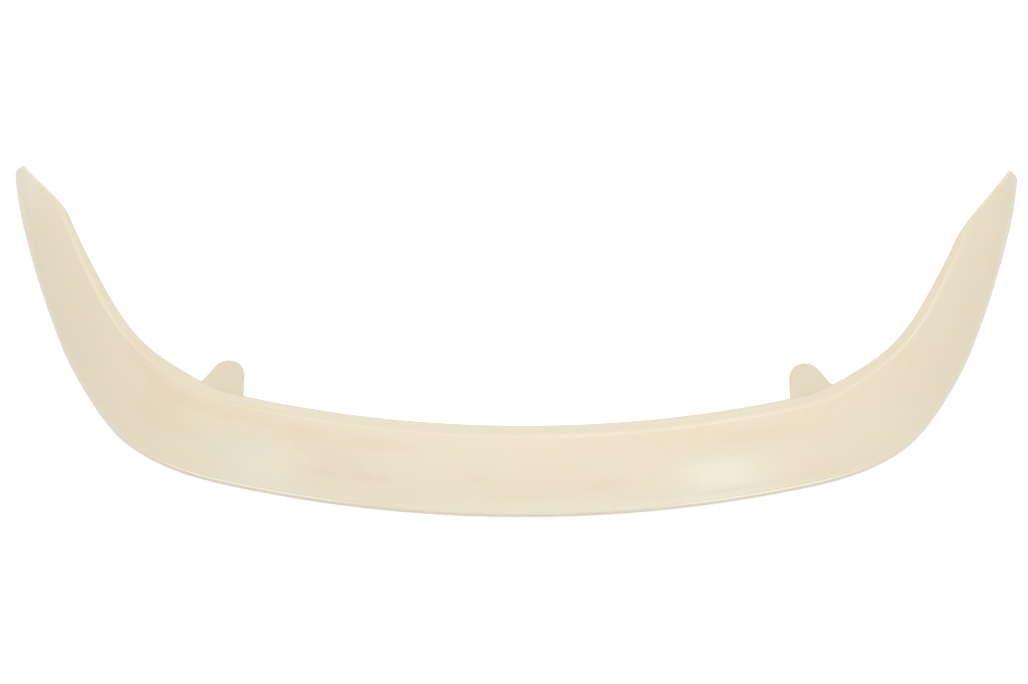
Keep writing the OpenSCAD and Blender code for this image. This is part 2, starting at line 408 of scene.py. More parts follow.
def waves(u, v):
    """Sum of four slow sines whose lengths share no common factor, at most one high."""
    return sum(
        share * np.sin(2 * np.pi * (u / long + v / wide) + phase)
        for share, long, wide, phase in WAVES
    )


def bell(x, middle, half):
    """Bell curve: e to the minus squared distance from the middle, in half widths."""
    return np.exp(-((x - middle) / half) ** 2)


hollow = -HOLLOW_DEPTH * bell(from_nose, HOLLOW_AT, HOLLOW_HALF)
second = -SECOND_DEPTH * bell(from_nose, SECOND_AT, SECOND_HALF)
second = second * smooth((length - SECOND_FROM) / SECOND_FADE)
second = second * smooth((SECOND_TO - length) / SECOND_FADE)
lift = on_face * (WAVE_HEIGHT * waves(length, from_nose) + hollow + second)
grid = np.clip(grid + normals * lift[..., None], *node_box)
print(f"the outer skin moves by up to {np.abs(lift).max() * 1000:.2f} mm")


# %% Grid to mesh
def add_masks(mesh, masks):
    """Store each mask as a number at every vertex, where the materials read it."""
    for mask_name, values in masks.items():
        attribute = mesh.attributes.new(mask_name, "FLOAT", "POINT")
        attribute.data.foreach_set("value", values.reshape(-1).astype(np.float32))


def mesh_from_grid(name, points, uv, masks):
    """A mesh of quads over a grid that is closed round its second direction, with the wall's two
    ends closed by strips. UVs are metres on the surface, and each mask becomes an attribute."""
    rows, cols = points.shape[:2]
    index = np.arange(rows * cols).reshape(rows, cols)
    a, b = index[:-1], index[1:]
    quads = np.stack([a, b, np.roll(b, -1, 1), np.roll(a, -1, 1)], -1).reshape(-1, 4)
    o = np.arange((cols - 1) // 2)
    strip = np.stack([o, o + 1, cols - 2 - o, cols - 1 - o], -1)
    faces = np.concatenate([quads, strip, strip[:, ::-1] + (rows - 1) * cols])
    mesh = bpy.data.meshes.new(name)
    mesh.vertices.add(rows * cols)
    mesh.vertices.foreach_set("co", points.reshape(-1))
    mesh.loops.add(faces.size)
    mesh.loops.foreach_set("vertex_index", faces.reshape(-1))
    mesh.polygons.add(len(faces))
    mesh.polygons.foreach_set("loop_start", np.arange(0, faces.size, 4))
    mesh.update(calc_edges=True)
    mesh.validate()
    layer = mesh.uv_layers.new(name="surface")
    layer.data.foreach_set("uv", uv.reshape(-1, 2)[faces.reshape(-1)].reshape(-1))
    add_masks(mesh, masks)
    mesh.shade_smooth()
    return mesh


def as_object(name, data):
    """Put a mesh, a lamp or a camera into the scene at the origin, unturned and unscaled."""
    obj = bpy.data.objects.new(name, data)
    bpy.context.scene.collection.objects.link(obj)
    return obj


# %% The shell's masks and mesh
# The crease's glint and its shade: strength, then where each stretch starts, ends and fades
GLINT_STRETCHES = [(0.80, -0.97, -0.68, 0.16), (1.00, 0.70, 0.93, 0.12)]
SHADE_STRETCHES = [(1.50, -0.80, -0.40, 0.10), (0.35, 0.55, 0.80, 0.10), (0.65, -0.40, 0.02, 0.10)]
WING_FROM, WING_FADE = 0.46, 0.22


def between(u, start, end, fade):
    """One between two lengths along the nose, fading to nothing over a short stretch."""
    return smooth((u - start) / fade + 0.5) * smooth((end - u) / fade + 0.5)


def stretches(u, table):
    """Sum of the stretches of a table, each at its own strength."""
    return sum(amount * between(u, start, end, fade) for amount, start, end, fade in table)


uv = np.stack([np.broadcast_to(length, across.shape), from_nose], -1)
outside = np.zeros(across.shape)
outside[:, :outer_n + 2] = 1
outside[:, -2:] = 1
from_crease = across - across[:, CREASE_TOP:CREASE_TOP + 1]
on_flange = smooth(from_crease / (9 * MM) - 0.3) * outside
on_wing = smooth((np.abs(length) - WING_FROM) / WING_FADE)
crease_glint = bell(from_crease, 0.5 * MM, 1.1 * MM) * outside * stretches(length, GLINT_STRETCHES)
crease_shade = bell(from_crease, 1 * MM, 5 * MM) * outside * stretches(length, SHADE_STRETCHES)
lip_mesh = mesh_from_grid("lip_shell", grid, uv, {
    # Painted highlight along the nose edge
    "nose_edge": bell(from_nose, 0, 3.2 * MM) * outside,
    "crease_glint": crease_glint,
    "crease_shade": crease_shade,
    # Painted shade on the wings' flange
    "flange": on_flange * on_wing,
    "sheen": on_flange * (1 - on_wing),
    # Painted reflection of the white room along the wings' outer edge
    "rim": bell(from_nose, -3 * MM, 5 * MM) * outside * on_wing,
})
lip = as_object("lip_shell", lip_mesh)
print(f"shell: {len(lip_mesh.polygons)} quads")

# %% [markdown]
# ## The two fixing tabs
#
# Each tab is a flat tongue moulded on to the flange's free edge, with a round end, one straight
# side and one slanting side. Its top surface is a grid of rows that run parallel to the flange's
# edge. Near the root the rows rise on a small parabola, which is the soft concave bend where the
# flat tab runs into the sloping flange. Solidify gives the thickness and Bevel eases the edges.


# %% Flange edge
def edge_line(at, cut):
    """Point on the flange's free edge, the unit vector along it, and its height."""
    s = np.array([at - tab_r, at, at + tab_r])
    outer = skin(s, cut, 0.0, OUTER_STEPS)[:, -1]
    plan = nose_at(s) + outer[:, :1] * inward(s)
    run = plan[2] - plan[0]
    return plan[1], run / np.linalg.norm(run), outer[1, 1]


# %% Tab surface
TAB_ROWS, TAB_COLS = 56, 24
TAB_EASE, EASE_STEPS, EASE_ANGLE = 0.7 * MM, 3, 50
ROOT_FADE = 6 * MM
bend_reach = 3.2 * MM
# The flange's edge curves away from the tab's straight root line by this much at the fillet
edge_rise = 2.2 * MM


def straight_side(d, ce, cd, lean):
    """Place along the edge of the straight side at each distance d, with a small fillet that
    flares it at the root, and the distance at which the line touches the round end."""
    straight = ce - tab_r / math.cos(lean) + (d - cd) * math.tan(lean)
    flare_c = ce - tab_r / math.cos(lean) - cd * math.tan(lean)
    flare_c = flare_c - tab_in_fillet / math.tan(math.pi / 4 + lean / 2)
    dip = np.clip(tab_in_fillet - np.maximum(d, 0), 0, tab_in_fillet)
    flare = flare_c + np.sqrt(np.maximum(tab_in_fillet ** 2 - dip ** 2, 0))
    side = np.where(d < tab_in_fillet * (1 - math.sin(lean)), flare, straight)
    return side, cd + tab_r * math.sin(lean)


def slanting_side(d, ce, cd, lean):
    """The same for the slanting side, whose larger fillet starts at the flange's curved edge."""
    slope = math.radians(tab_slant) + lean
    slanted = ce + tab_r / math.sin(slope) - (d - cd) / math.tan(slope)
    fillet_d = tab_fillet * (1 - math.cos(slope)) + edge_rise
    fillet_e = ce + tab_r / math.sin(slope) - (fillet_d - cd) / math.tan(slope)
    fillet_c = fillet_e + tab_fillet * math.sin(slope)
    dip = np.clip(tab_fillet - np.maximum(d - edge_rise, 0), 0, tab_fillet)
    filleted = fillet_c - np.sqrt(np.maximum(tab_fillet ** 2 - dip ** 2, 0))
    return np.where(d > fillet_d, slanted, filleted), cd + tab_r * math.cos(slope)


def tab_surface(at, side, cut):
    """Rows at rising distances d from the flange's edge, closer together at root and end. Each
    row runs from the straight side on the left to the slanting side on the right, and the round
    end joins the two. The last row is a single point."""
    foot, run, height = edge_line(at, cut)
    over = np.array([-run[1], run[0]])
    lean = math.atan2(run[1], run[0])
    centre = np.array([0, tab_reach])
    ce, cd = centre @ run, centre @ over
    t = np.linspace(0, 1, TAB_ROWS)
    low = -bend_reach
    d = low + (cd + tab_r - low) * (1 - np.cos(np.pi * t)) / 2
    chord = np.sqrt(np.maximum(tab_r ** 2 - (d - cd) ** 2, 0))
    left, touch_in = straight_side(d, ce, cd, lean)
    left = np.where(d < touch_in, left, ce - chord)
    right, touch_out = slanting_side(d, ce, cd, lean)
    right = np.where(d > touch_out, ce + chord, right)
    e = left[:, None] + (right - left)[:, None] * np.linspace(0, 1, TAB_COLS)
    plan = foot + e[..., None] * run + d[:, None, None] * over
    fall = math.tan(math.radians(flange_drop))
    rise = np.maximum(bend_reach - d, 0) ** 2 * fall / 4 / bend_reach
    z = np.broadcast_to((height + rise)[:, None], e.shape)
    # Masks for painted shade at the root and along the outline
    root = np.broadcast_to(bell(np.maximum(d, 0), 0, ROOT_FADE)[:, None], e.shape)
    edge = np.zeros(e.shape)
    edge[:, [0, -1]] = edge[-1] = 1
    return np.stack([side * plan[..., 0], plan[..., 1], z], -1), {"root": root, "edge": edge}


# Known fault: the last row of a tab meets in one point, and there Bevel leaves 120 to 132 vertices
# without a place, which an export writes as slivers to the origin.
def make_tab(name, at, side, cut):
    """Quads over the grid, turned over on the mirrored side, then a thickness and eased edges."""
    points, tab_masks = tab_surface(at, side, cut)
    rows, cols = points.shape[:2]
    index = np.arange(rows * cols).reshape(rows, cols)
    quads = np.stack([index[:-1, :-1], index[:-1, 1:], index[1:, 1:], index[1:, :-1]], -1)
    quads = quads.reshape(-1, 4)
    quads = quads if side > 0 else quads[:, ::-1]
    mesh = bpy.data.meshes.new(name)
    mesh.from_pydata(points.reshape(-1, 3).tolist(), [], quads.tolist())
    add_masks(mesh, tab_masks)
    mesh.shade_smooth()
    obj = as_object(name, mesh)
    solid = obj.modifiers.new("thickness", "SOLIDIFY")
    solid.thickness, solid.offset = tab_t, -1
    bevel = obj.modifiers.new("eased edges", "BEVEL")
    bevel.width, bevel.segments = TAB_EASE, EASE_STEPS
    bevel.limit_method, bevel.angle_limit = "ANGLE", math.radians(EASE_ANGLE)
    return obj


tab_right = make_tab("tab_right", tab_right_at, 1, cut_right)
tab_left = make_tab("tab_left", tab_left_at, -1, cut_left)
tab_height = edge_line(tab_right_at, cut_right)[2]
print("tab height above the floor in mm:", round(tab_height * 1000, 1))

# %% [markdown]
# ## What bare ivory moulding looks like
#
# The colour isn't one flat cream. Resin cures in warm and cool clouds, flow leaves faint streaks
# along the length, and the surface has a fine orange peel. Each effect is a node group with named
# inputs, so that the shell and the tabs can use it at their own strength.


# %% Node helpers
def new_group(name, inputs, outputs):
    """An empty shader group with named sockets, and its input and output nodes."""
    group = bpy.data.node_groups.new(name, "ShaderNodeTree")
    for label, kind, value in inputs:
        socket = group.interface.new_socket(label, in_out="INPUT", socket_type=kind)
        if value is not None:
            socket.default_value = value
    for label, kind in outputs:
        group.interface.new_socket(label, in_out="OUTPUT", socket_type=kind)
    return group, group.nodes.new("NodeGroupInput"), group.nodes.new("NodeGroupOutput")


def noise(nodes, links, vector, scale, detail, rough):
    """A noise texture fed with a vector."""
    node = nodes.new("ShaderNodeTexNoise")
    node.inputs["Scale"].default_value = scale
    node.inputs["Detail"].default_value = detail
    node.inputs["Roughness"].default_value = rough
    links.new(vector, node.inputs["Vector"])
    return node


def remap(nodes, links, value, low, high, to_low=0.0, to_high=1.0, kind="LINEAR"):
    """A clamped ramp from one range to another, straight or with soft ends."""
    node = nodes.new("ShaderNodeMapRange")
    node.interpolation_type = kind
    node.inputs["From Min"].default_value = low
    node.inputs["From Max"].default_value = high
    node.inputs["To Min"].default_value = to_low
    node.inputs["To Max"].default_value = to_high
    links.new(value, node.inputs["Value"])
    return node.outputs["Result"]


def mix_colour(nodes, links, factor, a, b, blend="MIX"):
    """Mix two colours, each a socket or a fixed colour."""
    node = nodes.new("ShaderNodeMix")
    node.data_type, node.blend_type = "RGBA", blend
    for value, socket in ((factor, node.inputs[0]), (a, node.inputs[6]), (b, node.inputs[7])):
        if isinstance(value, bpy.types.NodeSocket):
            links.new(value, socket)
        else:
            socket.default_value = value
    return node.outputs[2]


def maths(nodes, links, operation, a, b):
    """One arithmetic step between two values, each a socket or a number."""
    node = nodes.new("ShaderNodeMath")
    node.operation = operation
    for value, socket in ((a, node.inputs[0]), (b, node.inputs[1])):
        if isinstance(value, bpy.types.NodeSocket):
            links.new(value, socket)
        else:
            socket.default_value = value
    return node.outputs[0]


# %% Cured clouds
def cured_clouds():
    """Warm and cool clouds: two noises of different size move the base towards two tints."""
    group, inp, out = new_group(
        "Cured clouds",
        [("Vector", "NodeSocketVector", None), ("Base", "NodeSocketColor", (0.8, 0.7, 0.5, 1)),
         ("Warm", "NodeSocketColor", (0.8, 0.66, 0.42, 1)),
         ("Cool", "NodeSocketColor", (0.75, 0.69, 0.54, 1)), ("Strength", "NodeSocketFloat", 1.0)],
        [("Colour", "NodeSocketColor")],
    )
    n, k = group.nodes, group.links
    strength = inp.outputs["Strength"]
    big = noise(n, k, inp.outputs["Vector"], scale=5.5, detail=3, rough=0.5)
    small = noise(n, k, inp.outputs["Vector"], scale=31, detail=4, rough=0.6)
    warm = maths(n, k, "MULTIPLY", remap(n, k, big.outputs["Fac"], low=0.45, high=0.68), strength)
    cool = maths(n, k, "MULTIPLY", remap(n, k, small.outputs["Fac"], low=0.5, high=0.75), strength)
    one = mix_colour(n, k, warm, inp.outputs["Base"], inp.outputs["Warm"])
    two = mix_colour(n, k, maths(n, k, "MULTIPLY", cool, 0.6), one, inp.outputs["Cool"])
    k.new(two, out.inputs["Colour"])
    return group


clouds = cured_clouds()


# %% Flow streaks
def flow_streaks():
    """Noise that is stretched along the length by scaling the UVs unequally."""
    group, inp, out = new_group(
        "Flow streaks",
        [("Surface", "NodeSocketVector", None), ("Along", "NodeSocketFloat", 3.0),
         ("Across", "NodeSocketFloat", 90.0)],
        [("Mask", "NodeSocketFloat")],
    )
    n, k = group.nodes, group.links
    join = n.new("ShaderNodeCombineXYZ")
    k.new(inp.outputs["Along"], join.inputs[0])
    k.new(inp.outputs["Across"], join.inputs[1])
    scale = n.new("ShaderNodeVectorMath")
    scale.operation = "MULTIPLY"
    k.new(inp.outputs["Surface"], scale.inputs[0])
    k.new(join.outputs[0], scale.inputs[1])
    streak = noise(n, k, scale.outputs[0], scale=1.0, detail=5, rough=0.62)
    k.new(remap(n, k, streak.outputs["Fac"], low=0.35, high=0.7), out.inputs["Mask"])
    return group


streaks = flow_streaks()


# %% Orange peel
def orange_peel():
    """Height of the skin: millimetre ripples with finer grain on top."""
    group, inp, out = new_group(
        "Orange peel",
        [("Vector", "NodeSocketVector", None), ("Ripple", "NodeSocketFloat", 0.7),
         ("Grain", "NodeSocketFloat", 0.3)],
        [("Height", "NodeSocketFloat")],
    )
    n, k = group.nodes, group.links
    ripple = noise(n, k, inp.outputs["Vector"], scale=210, detail=2, rough=0.5)
    grain = noise(n, k, inp.outputs["Vector"], scale=1500, detail=3, rough=0.6)
    a = maths(n, k, "MULTIPLY", ripple.outputs["Fac"], inp.outputs["Ripple"])
    b = maths(n, k, "MULTIPLY", grain.outputs["Fac"], inp.outputs["Grain"])
    k.new(maths(n, k, "ADD", a, b), out.inputs["Height"])
    return group


peel = orange_peel()


# %% Specks
def moulded_specks():
    """Sparse dirt: cells whose own random number is high, dark only near the cell's point."""
    group, inp, out = new_group(
        "Moulded specks",
        [("Vector", "NodeSocketVector", None), ("Scale", "NodeSocketFloat", 34.0),
         ("Size", "NodeSocketFloat", 0.018), ("Share", "NodeSocketFloat", 0.93)],
        [("Mask", "NodeSocketFloat")],
    )
    n, k = group.nodes, group.links
    cell = n.new("ShaderNodeTexVoronoi")
    k.new(inp.outputs["Vector"], cell.inputs["Vector"])
    k.new(inp.outputs["Scale"], cell.inputs["Scale"])
    near = maths(n, k, "LESS_THAN", cell.outputs["Distance"], inp.outputs["Size"])
    split = n.new("ShaderNodeSeparateColor")
    k.new(cell.outputs["Color"], split.inputs[0])
    chosen = maths(n, k, "GREATER_THAN", split.outputs[0], inp.outputs["Share"])
    k.new(maths(n, k, "MULTIPLY", near, chosen), out.inputs["Mask"])
    return group


specks = moulded_specks()


# %% Placed patches
def placed_patch():
    """A soft cloud at a place on the surface: the distance from its centre in the UVs, divided by
    its half sizes and disturbed by noise, falls off as a smooth step."""
    group, inp, out = new_group(
        "Placed patch",
        [("Surface", "NodeSocketVector", None), ("Place", "NodeSocketVector", None),
         ("Size", "NodeSocketVector", None), ("Turn", "NodeSocketVector", None),
         ("Wander", "NodeSocketFloat", 0.5)],
        [("Mask", "NodeSocketFloat")],
    )
    n, k = group.nodes, group.links
    centred = n.new("ShaderNodeMapping")
    centred.vector_type = "TEXTURE"
    k.new(inp.outputs["Surface"], centred.inputs["Vector"])
    k.new(inp.outputs["Place"], centred.inputs["Location"])
    k.new(inp.outputs["Size"], centred.inputs["Scale"])
    k.new(inp.outputs["Turn"], centred.inputs["Rotation"])
    far = n.new("ShaderNodeVectorMath")
    far.operation = "LENGTH"
    k.new(centred.outputs[0], far.inputs[0])
    cloud = noise(n, k, inp.outputs["Surface"], scale=38, detail=4, rough=0.55)
    uneven = maths(n, k, "SUBTRACT", cloud.outputs["Fac"], 0.5)
    spread = maths(n, k, "MULTIPLY", uneven, inp.outputs["Wander"])
    edge = maths(n, k, "ADD", far.outputs["Value"], maths(n, k, "MULTIPLY", spread, 2.0))
    k.new(remap(n, k, edge, low=1.25, high=0.1, kind="SMOOTHSTEP"), out.inputs["Mask"])
    return group


patch = placed_patch()


# %% Edge lines
def edge_line_group():
    """A fine line along the nose: a narrow band in the distance from the nose, cut to a stretch of
    its length, with noise that thins it here and there."""
    group, inp, out = new_group(
        "Edge line",
        [("Surface", "NodeSocketVector", None), ("At", "NodeSocketFloat", 0.0),
         ("Half width", "NodeSocketFloat", 0.001), ("From", "NodeSocketFloat", 0.0),
         ("To", "NodeSocketFloat", 0.5), ("Fade", "NodeSocketFloat", 0.05)],
        [("Mask", "NodeSocketFloat")],
    )
    n, k = group.nodes, group.links
    split = n.new("ShaderNodeSeparateXYZ")
    k.new(inp.outputs["Surface"], split.inputs[0])
    along_at, up_at, fade = split.outputs[0], split.outputs[1], inp.outputs["Fade"]
    off = maths(n, k, "ABSOLUTE", maths(n, k, "SUBTRACT", up_at, inp.outputs["At"]), 0)
    narrow = maths(n, k, "DIVIDE", off, inp.outputs["Half width"])
    band = remap(n, k, narrow, low=1.4, high=0.3, kind="SMOOTHSTEP")
    after = maths(n, k, "SUBTRACT", along_at, inp.outputs["From"])
    before = maths(n, k, "SUBTRACT", inp.outputs["To"], along_at)
    begin = remap(n, k, maths(n, k, "DIVIDE", after, fade), 0, 1)
    end = remap(n, k, maths(n, k, "DIVIDE", before, fade), 0, 1)
    inside = maths(n, k, "MULTIPLY", begin, end)
    thin = noise(n, k, inp.outputs["Surface"], scale=60, detail=2, rough=0.5)
    # Noise that thins the painted highlight and shade lines here and there
    thinning = remap(n, k, thin.outputs["Fac"], low=0.3, high=0.55, to_low=0.55)
    k.new(maths(n, k, "MULTIPLY", maths(n, k, "MULTIPLY", band, inside), thinning), out.inputs["Mask"])
    return group


fine_line = edge_line_group()
print("node groups:", sorted(group.name for group in bpy.data.node_groups))

# %% [markdown]
# ## Putting the finish together
#
# The shell is satin: a moderate roughness under a thin, weak clear coat, and a trace of light
# scattering inside the wall, which is what makes bare resin look waxy. The tabs have no coat.
# Colours are written at the level at which they should render.

# %% Colours in linear light
IVORY = (0.820, 0.728, 0.560, 1)
IVORY_WARM = (0.800, 0.672, 0.470, 1)
WARMER = (0.994, 0.962, 0.893, 1)
COOLER = (0.976, 1.016, 1.071, 1)
IVORY_PALE = (0.860, 0.810, 0.680, 1)
# Painted reflection of the softboxes on the face
LAMP_REFLECTION_TINT = (0.805, 0.770, 0.640, 1)
IVORY_GREY = (0.765, 0.715, 0.585, 1)
IVORY_BROWN = (0.740, 0.640, 0.470, 1)
# Painted shade for the wings' steeper flange
WING_FLANGE_SHADE = (0.700, 0.625, 0.455, 1)
# The tabs' colour is a darker copy of the shell's: painted shade, for tabs that catch less light
# than the face
TAB_SHADED_IVORY = (0.715, 0.632, 0.485, 1)
ROOT_SHADE = (0.600, 0.500, 0.350, 1)
# Painted reflection of the white room along the wings' outer edge
RIM_REFLECTION = (0.820, 0.805, 0.740, 1)
SHEEN = (0.775, 0.722, 0.585, 1)
GLINT = (0.930, 0.870, 0.730, 1)
LINE_SHADE = (0.640, 0.560, 0.420, 1)
# The bright and light tints paint highlights and the shade tint paints shade; the pale tint serves
# both the moulding's own paler tone and painted light
TINTS = {
    "bright": (1.000, 0.960, 0.860, 1), "light": GLINT, "shade": LINE_SHADE,
    "grey": IVORY_GREY, "lamp_reflection": LAMP_REFLECTION_TINT, "pale": IVORY_PALE,
    "brown": IVORY_BROWN, "warm": IVORY_WARM,
}
DIRT = (0.200, 0.160, 0.110, 1)

# %% [markdown]
# ### Where the clouds lie
#
# Each patch is set by its distance along the nose from the middle and its distance up the face
# from the nose, with half sizes in both directions, all in metres, and its strength. Two whitish
# patches low on the face, at left and right, are painted reflections of the two softboxes, and a
# long pale strip high on the right is a painted highlight under the crease. Warm patches look
# like thicker resin, and the brown ones like old stains.

# %% Patches on the face
PATCHES = [
    # Painted reflections of the two softboxes, low on the face at left and right
    ("lamp_reflection", 0.318, 0.034, 0.096, 0.050, 0.85),
    ("lamp_reflection", -0.400, 0.014, 0.085, 0.028, 0.75),
    ("grey", -0.425, 0.055, 0.095, 0.044, 0.70),
    ("grey", 0.390, 0.075, 0.090, 0.030, 0.20),
    ("pale", 0.020, 0.006, 0.260, 0.018, 0.50),
    ("pale", 0.300, 0.004, 0.200, 0.012, 0.40),
    ("pale", -0.300, 0.003, 0.240, 0.012, 0.10),
    ("pale", 0.560, 0.060, 0.110, 0.060, 0.12),
    # Painted highlight along the top of the face under the crease, on the right
    ("pale", 0.330, 0.119, 0.130, 0.008, 0.30),
    ("pale", -1.150, 0.020, 0.090, 0.080, 0.70),
    ("pale", 1.160, 0.010, 0.040, 0.080, 0.45),
    ("brown", -0.295, 0.060, 0.085, 0.044, 0.40),
    ("brown", -0.265, 0.042, 0.100, 0.008, 0.28),
    ("brown", -0.213, 0.042, 0.012, 0.008, 0.25),
    ("warm", -0.590, 0.065, 0.090, 0.040, 0.60),
    ("warm", -0.600, 0.100, 0.150, 0.018, 0.70),
    ("warm", -0.440, 0.102, 0.110, 0.014, 0.40),
    ("warm", -0.060, 0.051, 0.018, 0.013, 0.45),
    ("warm", 0.137, 0.040, 0.050, 0.013, 0.45),
    ("warm", -0.345, 0.092, 0.040, 0.020, 0.50),
    ("warm", -0.215, 0.092, 0.055, 0.013, 0.40),
    ("warm", -0.290, 0.095, 0.130, 0.016, 0.30),
    ("warm", 0.380, 0.088, 0.110, 0.016, 0.42),
]

# %% [markdown]
# ### Lines, specks and scratches
#
# A painted highlight runs as a thin line along the sharp nose edge, with a thin line of painted
# shade above it and a broad band of painted shade below, which is painted paler again on the
# right. A faint line of painted shade lies in the second groove on the right, and thin painted
# highlights run along the flange. They run along the nose, so each is set by its distance from
# the nose and its half width, by where it starts and ends and fades, and by its strength. Specks
# and scratches are tiny patches: place, half sizes, turn in degrees and depth.

# %% Lines and marks
LINES = [
    # Painted shade: a broad band below the nose edge
    ("shade", -0.0060, 0.0050, -0.62, 0.60, 0.10, 0.14),
    # Painted light: the same band made paler on the right
    ("pale", -0.0100, 0.0035, 0.20, 0.60, 0.10, 0.30),
    # Painted shade: a thin line just above the nose edge, right and left
    ("shade", 0.0021, 0.0009, 0.20, 0.56, 0.08, 0.42),
    ("shade", 0.0021, 0.0009, -0.56, -0.20, 0.08, 0.40),
    # Painted highlight: a thin line on the nose edge, right and left
    ("bright", 0.0000, 0.0011, 0.20, 0.56, 0.08, 1.00),
    ("bright", 0.0000, 0.0011, -0.58, -0.22, 0.08, 0.95),
    # Painted shade in the faint second groove on the right
    ("shade", 0.0125, 0.0008, 0.26, 0.37, 0.03, 0.20),
    # Painted highlights: thin lines along the flange, right and left
    ("light", 0.1320, 0.0010, 0.18, 0.48, 0.06, 0.50),
    ("light", 0.1320, 0.0010, -0.48, -0.33, 0.06, 0.35),
]
MARKS = [
    (-0.7320, 0.0365, 0.0013, 0.0013, 0.0, 0.22),
    (0.2820, 0.0625, 0.0014, 0.0012, 0.0, 0.16),
    (0.3670, 0.0329, 0.0012, 0.0012, 0.0, 0.15),
    (0.2540, 0.1180, 0.0012, 0.0010, 0.0, 0.12),
    (-0.3970, 0.0240, 0.0007, 0.0180, -8.0, 0.035),
    (-1.0810, 0.0450, 0.0100, 0.0009, 20.0, 0.12),
    (1.1470, 0.0130, 0.0014, 0.0014, 0.0, 0.30),
    (1.1170, 0.0290, 0.0030, 0.0010, 35.0, 0.25),
]


# %% Material
CLOUD_STRENGTH, STREAK_STRENGTH, SPECK_STRENGTH = 0.45, 0.10, 0.35
PATCH_WANDER, MARK_WANDER = 0.5, 0.1
SMOOTHER, ROUGHER = 0.04, 0.05
PEEL_HEIGHT = 0.12 * MM
COAT_ROUGH = 0.12
SCATTER, SCATTER_RADIUS, SCATTER_REACH = 0.12, (1.0, 0.7, 0.4), 3 * MM


def group_node(nodes, group):
    """Place a node group in a material."""
    node = nodes.new("ShaderNodeGroup")
    node.node_tree = group
    return node


def tinted(nodes, links, colour, mask, strength, tint):
    """The colour so far, moved towards a tint by a mask at a strength."""
    amount = maths(nodes, links, "MULTIPLY", mask, strength)
    return mix_colour(nodes, links, amount, colour, tint)


def patch_mask(nodes, links, surface, place_at, half_size, turn, wander):
    """Mask of one placed patch: its place and half sizes in metres, its turn in degrees."""
    one = group_node(nodes, patch)
    links.new(surface, one.inputs["Surface"])
    one.inputs["Place"].default_value = (*place_at, 0)
    one.inputs["Size"].default_value = (*half_size, 1)
    one.inputs["Turn"].default_value = (0, 0, math.radians(turn))
    one.inputs["Wander"].default_value = wander
    return one.outputs["Mask"]


def line_mask(nodes, links, surface, up_at, half_up, start, end, fade):
    """Mask of one fine line along the nose."""
    one = group_node(nodes, fine_line)
    links.new(surface, one.inputs["Surface"])
    labels = ("At", "Half width", "From", "To", "Fade")
    for label, value in zip(labels, (up_at, half_up, start, end, fade)):
        one.inputs[label].default_value = value
    return one.outputs["Mask"]


def moulding(name, base, rough, coat, peel_strength, masks, patches, lines, marks):
    """Ivory moulding: clouds, streaks and placed patches, masks and lines, specks and marks on the
    colour, streaks on the roughness, and the peel on the normal. Some patches, masks and lines
    paint highlights, reflections and shade into the colour."""
    mat = bpy.data.materials.new(name)
    mat.use_nodes = True
    n, k = mat.node_tree.nodes, mat.node_tree.links
    shader = n["Principled BSDF"]
    here = n.new("ShaderNodeTexCoord").outputs["Object"]
    surface = here
    if patches:
        uv_node = n.new("ShaderNodeUVMap")
        uv_node.uv_map = "surface"
        surface = uv_node.outputs[0]
    cloud = group_node(n, clouds)
    k.new(here, cloud.inputs["Vector"])
    cloud.inputs["Base"].default_value = base
    cloud.inputs["Strength"].default_value = CLOUD_STRENGTH
    cloud.inputs["Warm"].default_value = [a * b for a, b in zip(base, WARMER)]
    cloud.inputs["Cool"].default_value = [a * b for a, b in zip(base, COOLER)]
    streak = group_node(n, streaks)
    k.new(surface, streak.inputs["Surface"])
    streak_mask = streak.outputs["Mask"]
    colour = tinted(n, k, cloud.outputs["Colour"], streak_mask, STREAK_STRENGTH, IVORY_PALE)
    for kind, along_at, up_at, half_along, half_up, strength in patches:
        size = (half_along, half_up)
        mask = patch_mask(n, k, surface, (along_at, up_at), size, 0, PATCH_WANDER)
        colour = tinted(n, k, colour, mask, strength, TINTS[kind])
    for mask_name, strength, tint in masks:
        mask = n.new("ShaderNodeAttribute")
        mask.attribute_name = mask_name
        colour = tinted(n, k, colour, mask.outputs["Fac"], strength, tint)
    speck = group_node(n, specks)
    k.new(here, speck.inputs["Vector"])
    colour = tinted(n, k, colour, speck.outputs["Mask"], SPECK_STRENGTH, DIRT)
    for tone, *where, strength in lines:
        colour = tinted(n, k, colour, line_mask(n, k, surface, *where), strength, TINTS[tone])
    for along_at, up_at, half_along, half_up, turn, depth in marks:
        size = (half_along, half_up)
        mask = patch_mask(n, k, surface, (along_at, up_at), size, turn, MARK_WANDER)
        colour = tinted(n, k, colour, mask, depth, DIRT)
    k.new(colour, shader.inputs["Base Color"])
    roughness = remap(n, k, streak_mask, 0, 1, rough - SMOOTHER, rough + ROUGHER)
    k.new(roughness, shader.inputs["Roughness"])
    skin_peel = group_node(n, peel)
    k.new(here, skin_peel.inputs["Vector"])
    bump = n.new("ShaderNodeBump")
    bump.inputs["Strength"].default_value = peel_strength
    bump.inputs["Distance"].default_value = PEEL_HEIGHT
    k.new(skin_peel.outputs["Height"], bump.inputs["Height"])
    k.new(bump.outputs["Normal"], shader.inputs["Normal"])
    shader.inputs["Coat Weight"].default_value = coat
    shader.inputs["Coat Roughness"].default_value = COAT_ROUGH
    shader.inputs["Subsurface Weight"].default_value = SCATTER
    shader.inputs["Subsurface Radius"].default_value = SCATTER_RADIUS
    shader.inputs["Subsurface Scale"].default_value = SCATTER_REACH
    return mat


